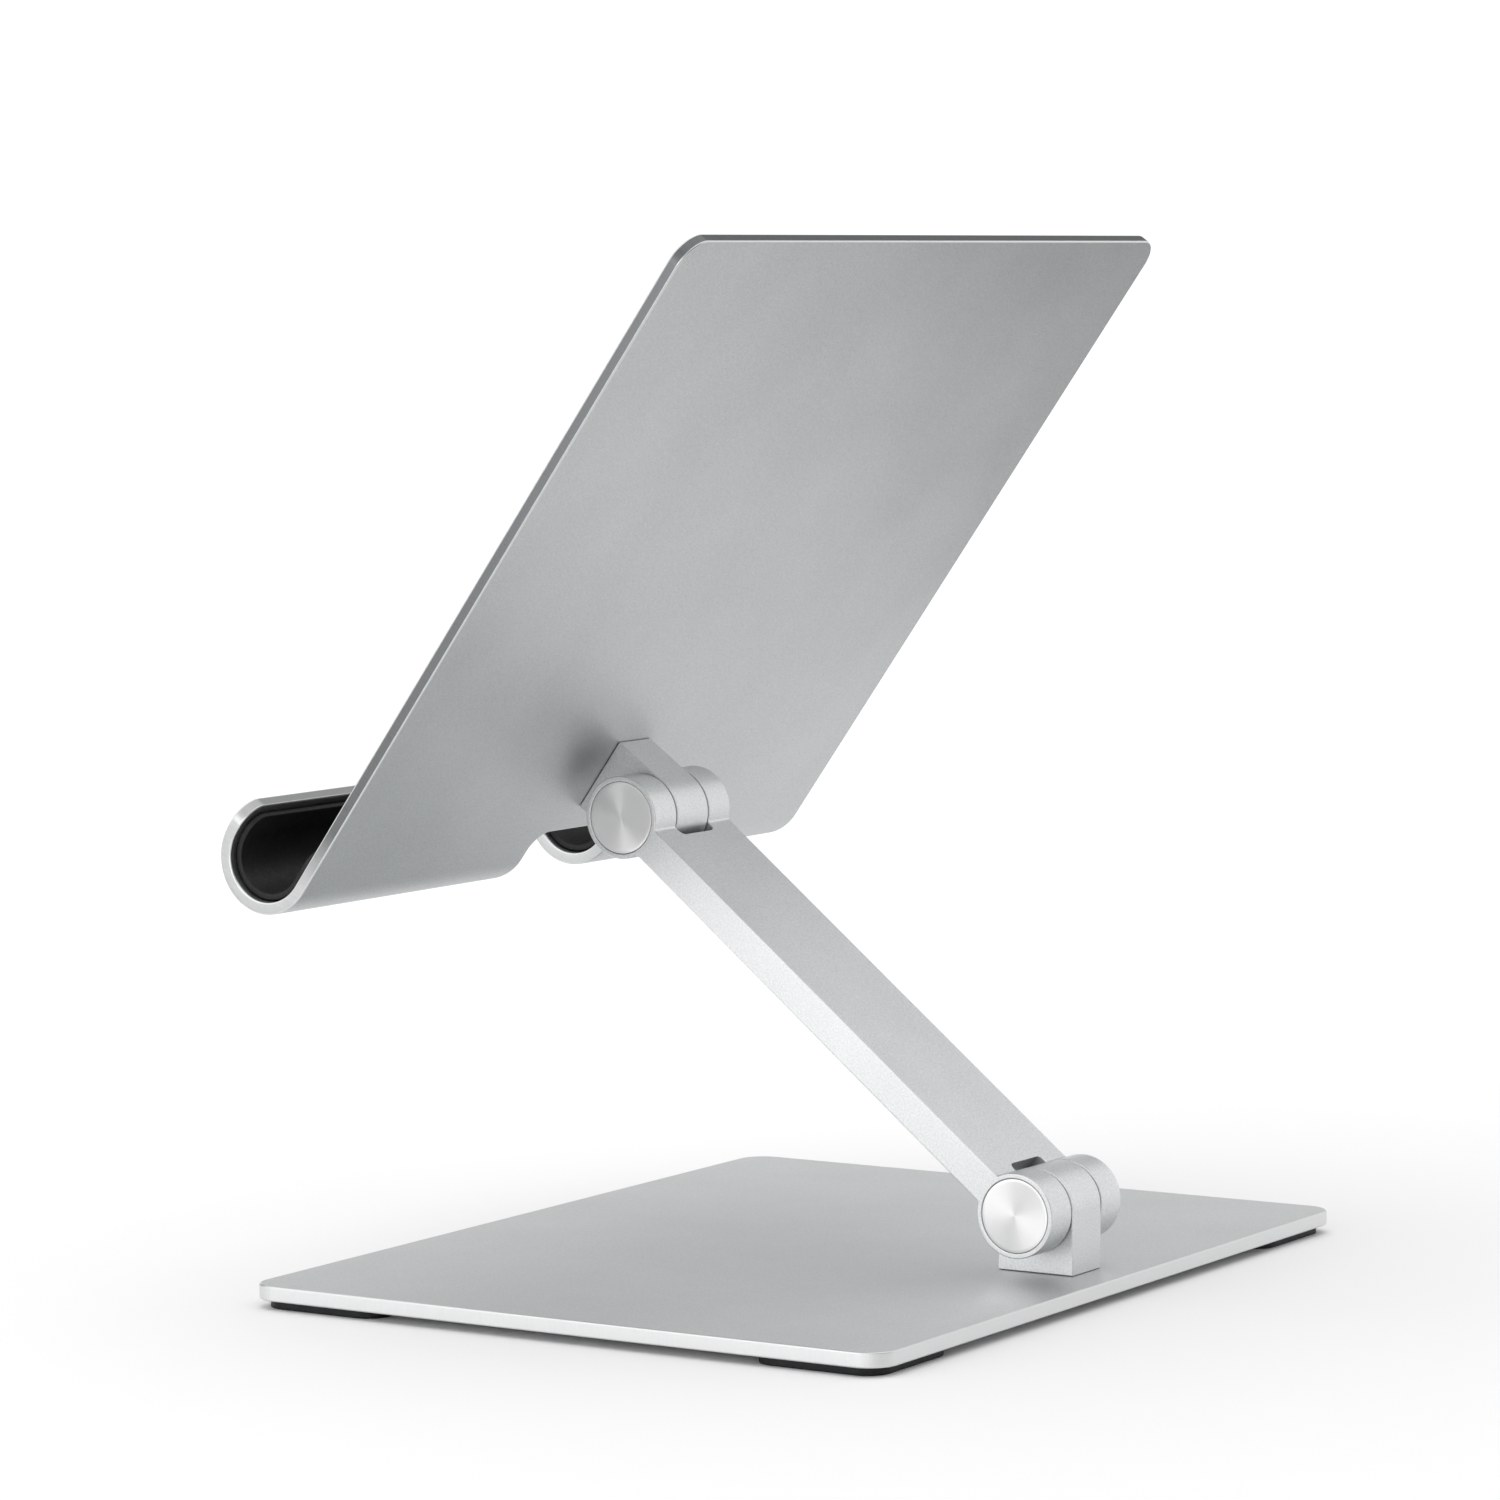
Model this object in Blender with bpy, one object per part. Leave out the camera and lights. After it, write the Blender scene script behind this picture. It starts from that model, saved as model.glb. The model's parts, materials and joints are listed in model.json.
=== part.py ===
"""Folding aluminium tablet stand: a base plate, an arm with a friction hinge at each end, and a
back plate whose lower edge is bent into two hooks. Metres, +Z up, user on the -Y side."""

import math

import bmesh
import bpy
from mathutils import Vector

# Base plate and its rubber feet.
BASE_WIDTH = 0.155
BASE_DEPTH = 0.120
BASE_THICKNESS = 0.0025
BASE_CORNER = 0.005
BASE_CENTRE_Y = 0.0028
FOOT_SIDE = 0.023
FOOT_HEIGHT = 0.0012
FOOT_INSET = 0.0016
FOOT_CORNER = 0.004

# Hinge blocks, one on the base and one behind the back plate.
BLOCK_WIDTH = 0.0096
BLOCK_RADIUS = 0.0070
LOWER_AXIS_HEIGHT = 0.0104
UPPER_AXIS_HEIGHT = 0.0110
LOWER_AXIS_FROM_CENTRE = 0.046

# Arm.
ARM_LENGTH = 0.0977
ARM_WIDTH = 0.0234
ARM_THICKNESS = 0.0056
ARM_ANGLE = math.radians(39.0)
EAR_RADIUS = 0.0070
FORK_DEPTH = 0.0082
FORK_CORNER = 0.0012

# Hinge hardware.
BOLT_RADIUS = 0.0019
BOLT_HOLE_RADIUS = 0.0022
BOLT_HEAD_RADIUS = 0.0035
BOLT_HEAD_HEIGHT = 0.0026
BOLT_SOCKET_RADIUS = 0.0014
BOLT_SOCKET_DEPTH = 0.0015
NUT_RADIUS = 0.0038
NUT_HEIGHT = 0.0015
EAR_WALL = 0.0016
POCKET_RADIUS = 0.0046
CAP_RADIUS = 0.0061
CAP_THICKNESS = 0.0009
CAP_SINK = 0.0001
WASHER_RADIUS = 0.0046
WASHER_THICKNESS = 0.0006
SPRING_RADIUS = 0.0042
SPRING_THICKNESS = 0.0003
SPRING_CONE = 0.00025

# Countersunk screws that hold each block.
SCREW_RADIUS = 0.0014
SCREW_HOLE_RADIUS = 0.0016
SCREW_THREAD_HOLE_RADIUS = 0.0015
SCREW_HEAD_RADIUS = 0.0027
SCREW_HEAD_HEIGHT = 0.0014
SCREW_LENGTH = 0.0072
SCREW_SPACING = 0.0078
SCREW_SOCKET_RADIUS = 0.0011
SCREW_SOCKET_DEPTH = 0.0009

# Back plate, measured from the upper hinge axis along the plate.
PLATE_WIDTH = 0.151
PLATE_THICKNESS = 0.0020
PLATE_ANGLE = math.radians(54.0)
PLATE_TOP = 0.111
PLATE_CORNER = 0.005
NOTCH_HALF_WIDTH = 0.013
NOTCH_TOP = -0.0122
NOTCH_CORNER = 0.0038
BEND_START = -0.0176
BEND_RADIUS = 0.0071
LIP_HEIGHT = 0.005
LIP_CORNER = 0.004

# Silicone pads on the plate's front.
PAD_THICKNESS = 0.0010
PAD_EDGE = 0.0045
PAD_BOTTOM = -0.008
PAD_CORNER = 0.005
LINER_TOP = -0.0110
LINER_EDGE = 0.0012
LINER_TIP = 0.0012
LINER_CORNER = 0.003

# Shared small values.
GAP = 0.0003
CHAMFER = 0.0002
TURNED_SIDES = 36
SMALL_SIDES = 20
CORNER_STEPS = 6
BEND_STEPS = 18
BLOCK_TOP_STEPS = 20
EAR_STEPS = 40
OVERSHOOT = 0.001
SMOOTH_LIMIT = math.radians(30)
CHAMFER_LIMIT = math.radians(50)
FLAT_LIMIT = math.radians(0.5)

BASE_TOP = FOOT_HEIGHT + GAP + BASE_THICKNESS
EAR_INSIDE = BLOCK_WIDTH / 2 + GAP
EAR_OUTSIDE = ARM_WIDTH / 2
POCKET_FLOOR = EAR_INSIDE + EAR_WALL
CAP_OUTSIDE = EAR_OUTSIDE - CAP_SINK
CAP_SEAT = CAP_OUTSIDE - CAP_THICKNESS - GAP
PLATE_REAR = UPPER_AXIS_HEIGHT
PLATE_FRONT = PLATE_REAR + PLATE_THICKNESS

ALUMINIUM = ("aluminium", (0.62, 0.64, 0.65), 0.38, 1.0)
BRIGHT_ALUMINIUM = ("spun_aluminium", (0.80, 0.81, 0.81), 0.25, 1.0)
STEEL = ("zinc_steel", (0.52, 0.53, 0.55), 0.35, 1.0)
SPRING_STEEL = ("spring_steel", (0.30, 0.31, 0.33), 0.35, 1.0)
NYLON = ("nylon", (0.75, 0.74, 0.70), 0.55, 0.0)
RUBBER = ("foot_rubber", (0.022, 0.026, 0.029), 0.80, 0.0)
SILICONE = ("pad_silicone", (0.012, 0.012, 0.014), 0.65, 0.0)


def clear_scene():
    for obj in list(bpy.data.objects):
        bpy.data.objects.remove(obj, do_unlink=True)


def material(name, colour, roughness, metallic):
    found = bpy.data.materials.get(name)
    if found:
        return found
    made = bpy.data.materials.new(name)
    made.use_nodes = True
    shader = made.node_tree.nodes["Principled BSDF"]
    shader.inputs["Base Color"].default_value = (*colour, 1.0)
    shader.inputs["Roughness"].default_value = roughness
    shader.inputs["Metallic"].default_value = metallic
    return made


def empty(name, location, angle, parent=None):
    made = bpy.data.objects.new(name, None)
    bpy.context.scene.collection.objects.link(made)
    made.location = location
    made.rotation_euler = (angle, 0.0, 0.0)
    made.parent = parent
    return made


def link_mesh(name, shape, finish=None, parent=None):
    """Turns a bmesh into an object, smooth on its round faces and sharp at its edges."""
    bmesh.ops.recalc_face_normals(shape, faces=shape.faces)
    mesh = bpy.data.meshes.new(name)
    shape.to_mesh(mesh)
    shape.free()
    mesh.shade_smooth()
    mesh.set_sharp_from_angle(angle=SMOOTH_LIMIT)
    made = bpy.data.objects.new(name, mesh)
    bpy.context.scene.collection.objects.link(made)
    made.parent = parent
    if finish:
        mesh.materials.append(material(*finish))
    return made


def chamfer(obj):
    bevel = obj.modifiers.new("edge_chamfer", "BEVEL")
    bevel.width = CHAMFER
    bevel.segments = 1
    bevel.limit_method = "ANGLE"
    bevel.angle_limit = CHAMFER_LIMIT


def cut(obj, cutter):
    cutter.hide_render = True
    cutter.display_type = "WIRE"
    cutter.parent = obj
    boolean = obj.modifiers.new("cut_" + cutter.name, "BOOLEAN")
    boolean.operation = "DIFFERENCE"
    boolean.solver = "EXACT"
    boolean.object = cutter


def arc(centre_u, centre_v, radius, start, end, steps):
    """Points on an arc, in degrees, both ends included."""
    points = []
    for i in range(steps + 1):
        angle = math.radians(start + (end - start) * i / steps)
        points.append((centre_u + radius * math.cos(angle), centre_v + radius * math.sin(angle)))
    return points


def rounded_rectangle(half_u, half_v, radius):
    points = []
    for i, (su, sv) in enumerate(((1, 1), (-1, 1), (-1, -1), (1, -1))):
        centre = (su * (half_u - radius), sv * (half_v - radius))
        points += arc(*centre, radius, 90 * i, 90 * (i + 1), CORNER_STEPS)
    return points


def prism(name, outline, low, high, to_point, finish=None, parent=None):
    """An outline of (u, v) points extruded from low to high; to_point(u, v, w) places a point."""
    shape = bmesh.new()
    loop = [shape.verts.new(to_point(u, v, low)) for u, v in outline]
    face = shape.faces.new(loop)
    extruded = bmesh.ops.extrude_face_region(shape, geom=[face])
    moved = [item for item in extruded["geom"] if isinstance(item, bmesh.types.BMVert)]
    lift = Vector(to_point(0, 0, high)) - Vector(to_point(0, 0, low))
    bmesh.ops.translate(shape, verts=moved, vec=lift)
    return link_mesh(name, shape, finish, parent)


def flat(u, v, w):
    return (u, v, w)


def across(u, v, w):
    """The outline lies in the YZ plane and is extruded along X, the direction of both axes."""
    return (w, u, v)


def turned(name, profile, sides, finish=None, parent=None, along="X"):
    """A solid of revolution about X or Z from (distance along the axis, radius) points."""
    shape = bmesh.new()
    rings = []
    for distance, radius in profile:
        ring = []
        count = sides if radius > 0 else 1
        for i in range(count):
            angle = 2 * math.pi * (i + 0.5) / sides
            ring.append((distance, radius * math.cos(angle), radius * math.sin(angle)))
        rings.append([shape.verts.new(p if along == "X" else (p[1], p[2], p[0])) for p in ring])
    closed = profile[0][1] > 0
    following = rings[1:] + rings[:1] if closed else rings[1:]
    for first, second in zip(rings, following):
        for i in range(sides):
            a = first[i % len(first)]
            b = first[(i + 1) % len(first)]
            c = second[(i + 1) % len(second)]
            d = second[i % len(second)]
            corners = [a]
            for corner in (b, c, d):
                if corner not in corners:
                    corners.append(corner)
            shape.faces.new(corners)
    return link_mesh(name, shape, finish, parent)


def ring_profile(low, high, inner, outer):
    return [(low, inner), (low, outer), (high, outer), (high, inner)]


def disc_profile(low, high, radius, edge=0.0):
    if not edge:
        return [(low, 0), (low, radius), (high, radius), (high, 0)]
    return [(low, 0), (low, radius), (high - edge, radius), (high, radius - edge), (high, 0)]


def hexagon_cutter(name, low, high, radius, along="X"):
    return turned(name, disc_profile(low, high, radius), 6, along=along)


def make_base():
    plate = prism("base_plate", rounded_rectangle(BASE_WIDTH / 2, BASE_DEPTH / 2, BASE_CORNER),
                  BASE_TOP - BASE_THICKNESS, BASE_TOP, flat, ALUMINIUM)
    plate.location = (0, BASE_CENTRE_Y, 0)
    chamfer(plate)
    for name, side in (("front", -1), ("rear", 1)):
        cutter = screw_hole_cutter("base_hole_" + name, BASE_THICKNESS)
        cutter.location = (0, LOWER_AXIS_FROM_CENTRE + side * SCREW_SPACING / 2,
                           BASE_TOP - BASE_THICKNESS)
        cut(plate, cutter)


def make_feet():
    reach_x = BASE_WIDTH / 2 - FOOT_INSET - FOOT_SIDE / 2
    reach_y = BASE_DEPTH / 2 - FOOT_INSET - FOOT_SIDE / 2
    outline = rounded_rectangle(FOOT_SIDE / 2, FOOT_SIDE / 2, FOOT_CORNER)
    for end, sy in (("front", -1), ("rear", 1)):
        for hand, sx in (("left", -1), ("right", 1)):
            foot = prism(f"foot_{end}_{hand}", outline, 0.0, FOOT_HEIGHT, flat, RUBBER)
            foot.location = (sx * reach_x, BASE_CENTRE_Y + sy * reach_y, 0)


def screw_hole_cutter(name, sheet):
    """Countersunk clearance hole along Z through a sheet whose outer face is at zero."""
    cone_end = SCREW_HEAD_HEIGHT + GAP
    wide = SCREW_HEAD_RADIUS + GAP
    profile = [(-OVERSHOOT, 0), (-OVERSHOOT, wide), (GAP, wide), (cone_end, SCREW_HOLE_RADIUS),
               (sheet + OVERSHOOT, SCREW_HOLE_RADIUS), (sheet + OVERSHOOT, 0)]
    return turned(name, profile, SMALL_SIDES, along="Z")


def make_screw(name, parent, location, angle):
    """A countersunk machine screw whose head is flush with zero and whose shank runs up Z."""
    profile = [(GAP / 2, 0), (GAP / 2, SCREW_HEAD_RADIUS), (SCREW_HEAD_HEIGHT, SCREW_RADIUS),
               (SCREW_LENGTH - GAP, SCREW_RADIUS), (SCREW_LENGTH, SCREW_RADIUS - GAP),
               (SCREW_LENGTH, 0)]
    screw = turned(name, profile, SMALL_SIDES, STEEL, parent, along="Z")
    screw.location = location
    screw.rotation_euler = (angle, 0, 0)
    cut(screw, hexagon_cutter(name + "_socket", -OVERSHOOT, SCREW_SOCKET_DEPTH,
                              SCREW_SOCKET_RADIUS, along="Z"))


def make_block(name, parent, axis_height, angle):
    """A hinge block: a flat foot, straight sides and a round top about the hinge axis."""
    foot = -(axis_height - GAP)
    outline = [(-BLOCK_RADIUS, foot), (BLOCK_RADIUS, foot)]
    outline += arc(0, 0, BLOCK_RADIUS, 0, 180, BLOCK_TOP_STEPS)
    half = BLOCK_WIDTH / 2
    block = prism(name, outline, -half, half, across, ALUMINIUM, parent)
    block.rotation_euler = (angle, 0, 0)
    chamfer(block)
    cut(block, turned(name + "_bore", disc_profile(-half - OVERSHOOT, half + OVERSHOOT,
                                                   BOLT_HOLE_RADIUS), TURNED_SIDES))
    recess_floor = half - WASHER_THICKNESS - GAP
    for hand, low, high in (("left", -half - OVERSHOOT, -recess_floor),
                            ("right", recess_floor, half + OVERSHOOT)):
        cut(block, turned(f"{name}_recess_{hand}",
                          disc_profile(low, high, WASHER_RADIUS + GAP), TURNED_SIDES))
    hole_end = foot - PLATE_THICKNESS + SCREW_LENGTH + GAP
    for i, side in enumerate((-1, 1)):
        hole = turned(f"{name}_thread_{i}",
                      disc_profile(foot - OVERSHOOT, hole_end, SCREW_THREAD_HOLE_RADIUS),
                      SMALL_SIDES, along="Z")
        hole.location = (0, side * SCREW_SPACING / 2, 0)
        cut(block, hole)


def make_washers(prefix, parent):
    high = BLOCK_WIDTH / 2
    low = high - WASHER_THICKNESS
    profile = ring_profile(low, high, BOLT_HOLE_RADIUS, WASHER_RADIUS)
    for hand, turn in (("right", 0.0), ("left", math.pi)):
        washer = turned(f"{prefix}_friction_washer_{hand}", profile, TURNED_SIDES, NYLON, parent)
        washer.rotation_euler = (0, 0, turn)


def arm_outline():
    """Two ears joined by a straight bar, in the arm's own plane."""
    half = ARM_THICKNESS / 2
    meet = math.degrees(math.asin(half / EAR_RADIUS))
    lower = arc(0, 0, EAR_RADIUS, meet, 360 - meet, EAR_STEPS)
    upper = arc(ARM_LENGTH, 0, EAR_RADIUS, 180 + meet, 540 - meet, EAR_STEPS)
    return lower + upper


def fork_cutter(name, inward):
    """The slot between two ears, open at the arm's end and rounded at its inner corners."""
    start = -EAR_RADIUS - OVERSHOOT
    radius = FORK_CORNER
    half = EAR_INSIDE
    outline = [(half, start), (half, FORK_DEPTH - radius)]
    outline += arc(half - radius, FORK_DEPTH - radius, radius, 0, 90, CORNER_STEPS)[1:]
    outline += arc(radius - half, FORK_DEPTH - radius, radius, 90, 180, CORNER_STEPS)
    outline += [(-half, start)]
    reach = EAR_RADIUS + OVERSHOOT

    def place(u, v, w):
        return (u, inward * v, w)

    return prism(name, outline, -reach, reach, place)


def ear_cutter(name):
    """The stepped bore of the ear on the +X side: bolt hole, hardware pocket and cap seat."""
    outside = EAR_OUTSIDE + OVERSHOOT
    cap_bore = CAP_RADIUS + GAP / 2
    profile = [(EAR_INSIDE - OVERSHOOT, 0), (EAR_INSIDE - OVERSHOOT, BOLT_HOLE_RADIUS),
               (POCKET_FLOOR, BOLT_HOLE_RADIUS), (POCKET_FLOOR, POCKET_RADIUS),
               (CAP_SEAT, POCKET_RADIUS), (CAP_SEAT, cap_bore), (outside, cap_bore), (outside, 0)]
    return turned(name, profile, TURNED_SIDES)


def make_arm(parent):
    half = ARM_WIDTH / 2
    arm = prism("arm", arm_outline(), -half, half, across, ALUMINIUM, parent)
    chamfer(arm)
    for end, along, inward in (("lower", 0.0, 1), ("upper", ARM_LENGTH, -1)):
        fork = fork_cutter(f"fork_{end}", inward)
        fork.location = (0, along, 0)
        cut(arm, fork)
        for hand, turn in (("right", 0.0), ("left", math.pi)):
            bore = ear_cutter(f"ear_{end}_{hand}")
            bore.location = (0, along, 0)
            bore.rotation_euler = (0, 0, turn)
            cut(arm, bore)


def make_hinge_hardware(prefix, parent, along):
    """Bolt with its head in the right ear; disc springs and nut in the left ear; a cap on each."""
    place = (0, along, 0)
    head = POCKET_FLOOR + GAP
    spring_near = POCKET_FLOOR + GAP
    spring_height = SPRING_THICKNESS + SPRING_CONE
    spring_far = spring_near + spring_height + GAP
    nut_near = spring_far + spring_height + GAP
    bolt_end = -(nut_near + NUT_HEIGHT)
    profile = [(bolt_end, 0), (bolt_end, BOLT_RADIUS), (head, BOLT_RADIUS),
               (head, BOLT_HEAD_RADIUS), (head + BOLT_HEAD_HEIGHT - CHAMFER, BOLT_HEAD_RADIUS),
               (head + BOLT_HEAD_HEIGHT, BOLT_HEAD_RADIUS - CHAMFER), (head + BOLT_HEAD_HEIGHT, 0)]
    bolt = turned(prefix + "_hinge_bolt", profile, TURNED_SIDES, STEEL, parent)
    bolt.location = place
    top = head + BOLT_HEAD_HEIGHT
    cut(bolt, hexagon_cutter(prefix + "_bolt_socket", top - BOLT_SOCKET_DEPTH, top + OVERSHOOT,
                             BOLT_SOCKET_RADIUS))

    nut = turned(prefix + "_hinge_nut", disc_profile(nut_near, nut_near + NUT_HEIGHT, NUT_RADIUS),
                 6, STEEL, parent)
    nut.location = place
    nut.rotation_euler = (0, 0, math.pi)
    cut(nut, turned(prefix + "_nut_thread",
                    disc_profile(nut_near - OVERSHOOT, nut_near + NUT_HEIGHT + OVERSHOOT,
                                 BOLT_RADIUS + CHAMFER), SMALL_SIDES))

    for label, start, inner_first in (("inner", spring_near, True), ("outer", spring_far, False)):
        tilt_in = SPRING_CONE if inner_first else 0.0
        tilt_out = SPRING_CONE - tilt_in
        profile = [(start + tilt_in, BOLT_HOLE_RADIUS), (start + tilt_out, SPRING_RADIUS),
                   (start + tilt_out + SPRING_THICKNESS, SPRING_RADIUS),
                   (start + tilt_in + SPRING_THICKNESS, BOLT_HOLE_RADIUS)]
        spring = turned(f"{prefix}_disc_spring_{label}", profile, TURNED_SIDES, SPRING_STEEL,
                        parent)
        spring.location = place
        spring.rotation_euler = (0, 0, math.pi)

    for hand, turn in (("right", 0.0), ("left", math.pi)):
        cap = turned(f"{prefix}_hinge_cap_{hand}",
                     disc_profile(CAP_OUTSIDE - CAP_THICKNESS, CAP_OUTSIDE, CAP_RADIUS, CHAMFER),
                     TURNED_SIDES, BRIGHT_ALUMINIUM, parent)
        cap.location = place
        cap.rotation_euler = (0, 0, turn)


def bend_point(x, length, outward):
    """Places a point of the flat sheet, in the plate's own frame.

    length runs down the sheet's front from the hinge axis, through the bend and up the lip, and
    outward is the distance behind that front face."""
    bend_length = math.pi * BEND_RADIUS
    start = -BEND_START
    centre_z = PLATE_FRONT + BEND_RADIUS
    radius = BEND_RADIUS + outward
    if length <= start:
        return (x, -length, PLATE_FRONT - outward)
    if length >= start + bend_length:
        return (x, BEND_START + length - start - bend_length, centre_z + radius)
    turn = (length - start) / BEND_RADIUS
    return (x, BEND_START - radius * math.sin(turn), centre_z - radius * math.cos(turn))


def corner_rows(start, radius, sign):
    """(distance, inset) of the rows that round a corner: the inset grows away from start."""
    rows = []
    for i in range(CORNER_STEPS + 1):
        angle = 0.5 * math.pi * i / CORNER_STEPS
        rows.append((start + sign * radius * math.sin(angle), radius * (1 - math.cos(angle))))
    return rows


def tab_rows(top, bottom, low, high, radius):
    """Rows of a strip from top to bottom whose two lower corners are rounded."""
    rows = [(top, low, high)]
    bend_first = -BEND_START
    bend_length = math.pi * BEND_RADIUS
    for i in range(BEND_STEPS + 1):
        rows.append((bend_first + bend_length * i / BEND_STEPS, low, high))
    for distance, inset in corner_rows(bottom - radius, radius, 1):
        rows.append((distance, low + inset, high - inset))
    return rows


def fill_rows(shape, rows, outward):
    """Joins neighbouring rows of (length, low x, high x) with faces, and returns the vertices."""
    made = []
    for length, low, high in rows:
        made.append([shape.verts.new(bend_point(x, length, outward)) for x in (low, high)])
    for first, second in zip(made, made[1:]):
        shape.faces.new((first[0], first[1], second[1], second[0]))
    return made


def bent_layer(shape, outward):
    """One face of the back plate's sheet: the panel, and a hook tab each side of the notch."""
    edge = PLATE_WIDTH / 2
    panel = []
    for distance, inset in reversed(corner_rows(-PLATE_TOP + PLATE_CORNER, PLATE_CORNER, -1)):
        panel.append((distance, -edge + inset, edge - inset))
    verts = fill_rows(shape, panel, outward)
    last = verts[-1]
    notch = []
    for i in range(CORNER_STEPS + 1):
        angle = 0.5 * math.pi * i / CORNER_STEPS
        notch.append((-NOTCH_TOP + NOTCH_CORNER * (1 - math.cos(angle)),
                      NOTCH_HALF_WIDTH - NOTCH_CORNER * (1 - math.sin(angle))))
    lip_end = -BEND_START + math.pi * BEND_RADIUS + LIP_HEIGHT
    tab = tab_rows(notch[-1][0], lip_end, NOTCH_HALF_WIDTH, edge, LIP_CORNER)[1:]
    sides = []
    for hand in (1, -1):
        rows = [(length, hand * inner, hand * edge) for length, inner in notch]
        rows += [(length, hand * inner, hand * outer) for length, inner, outer in tab]
        sides.append(fill_rows(shape, rows, outward)[0])
    right, left = sides
    shape.faces.new((last[0], last[1], right[1], right[0], left[0], left[1]))


def close_layers(shape, count):
    """Joins the open edges of two matching layers of count vertices each with walls."""
    shape.verts.ensure_lookup_table()
    verts = list(shape.verts)
    rim = [edge for edge in shape.edges if edge.is_boundary and edge.verts[0].index < count]
    shape.verts.index_update()
    for edge in rim:
        a = edge.verts[0].index
        b = edge.verts[1].index
        shape.faces.new((verts[a], verts[b], verts[b + count], verts[a + count]))


def sheet_solid(name, fill, front, rear, finish, parent):
    """A bent sheet between two distances behind the plate's front face."""
    shape = bmesh.new()
    fill(shape, front)
    count = len(shape.verts)
    fill(shape, rear)
    shape.verts.index_update()
    close_layers(shape, count)
    bmesh.ops.recalc_face_normals(shape, faces=shape.faces)
    bmesh.ops.dissolve_limit(shape, angle_limit=FLAT_LIMIT, verts=shape.verts,
                             edges=shape.edges)
    return link_mesh(name, shape, finish, parent)


def make_back_plate(parent):
    plate = sheet_solid("back_plate", bent_layer, 0.0, PLATE_THICKNESS, ALUMINIUM, parent)
    chamfer(plate)
    for name, side in (("top", 1), ("bottom", -1)):
        cutter = screw_hole_cutter("plate_hole_" + name, PLATE_THICKNESS)
        cutter.location = (0, side * SCREW_SPACING / 2, PLATE_FRONT)
        cutter.rotation_euler = (math.pi, 0, 0)
        cut(plate, cutter)


def make_hook_liners(parent):
    low = NOTCH_HALF_WIDTH + LINER_EDGE
    high = PLATE_WIDTH / 2 - LINER_EDGE
    end = -BEND_START + math.pi * BEND_RADIUS + LIP_HEIGHT - LINER_TIP

    for hand, sign in (("right", 1), ("left", -1)):

        def fill(shape, outward, sign=sign):
            rows = []
            for distance, inset in reversed(corner_rows(-LINER_TOP + LINER_CORNER,
                                                        LINER_CORNER, -1)):
                rows.append((distance, sign * (low + inset), sign * (high - inset)))
            for length, inner, outer in tab_rows(-LINER_TOP, end, low, high, LINER_CORNER)[1:]:
                rows.append((length, sign * inner, sign * outer))
            fill_rows(shape, rows, outward)

        sheet_solid(f"hook_liner_{hand}", fill, -GAP - PAD_THICKNESS, -GAP, SILICONE, parent)


def make_front_pad(parent):
    low = PAD_BOTTOM
    high = PLATE_TOP - PAD_EDGE
    outline = rounded_rectangle(PLATE_WIDTH / 2 - PAD_EDGE, (high - low) / 2, PAD_CORNER)
    start = PLATE_FRONT + GAP
    pad = prism("front_pad", outline, start, start + PAD_THICKNESS, flat, SILICONE, parent)
    pad.location = (0, (high + low) / 2, 0)


clear_scene()
lower_axis = empty("lower_hinge_axis",
                   (0, BASE_CENTRE_Y + LOWER_AXIS_FROM_CENTRE, BASE_TOP + LOWER_AXIS_HEIGHT), 0.0)
arm_frame = empty("arm_frame", (0, 0, 0), math.pi - ARM_ANGLE, lower_axis)
upper_axis = empty("upper_hinge_axis", (0, ARM_LENGTH, 0), 0.0, arm_frame)
plate_frame = empty("plate_frame", (0, 0, 0), PLATE_ANGLE + ARM_ANGLE - math.pi, upper_axis)

make_base()
make_feet()
make_block("lower_hinge_block", lower_axis, LOWER_AXIS_HEIGHT, 0.0)
make_washers("lower", lower_axis)
for screw_name, screw_side in (("front", -1), ("rear", 1)):
    make_screw("lower_block_screw_" + screw_name, lower_axis,
               (0, screw_side * SCREW_SPACING / 2, -LOWER_AXIS_HEIGHT - BASE_THICKNESS), 0.0)

make_arm(arm_frame)
make_hinge_hardware("lower", arm_frame, 0.0)
make_hinge_hardware("upper", arm_frame, ARM_LENGTH)

make_block("upper_hinge_block", plate_frame, UPPER_AXIS_HEIGHT, math.pi)
make_washers("upper", plate_frame)
for screw_name, screw_side in (("top", 1), ("bottom", -1)):
    make_screw("upper_block_screw_" + screw_name, plate_frame,
               (0, screw_side * SCREW_SPACING / 2, PLATE_FRONT), math.pi)
make_back_plate(plate_frame)
make_front_pad(plate_frame)
make_hook_liners(plate_frame)
bpy.context.view_layer.update()
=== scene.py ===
"""Looks of the folding tablet stand: bead-blasted aluminium, spun caps, rubber feet."""

import json
import math

import bmesh
import bpy
from mathutils import Matrix, Quaternion, Vector


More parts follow.
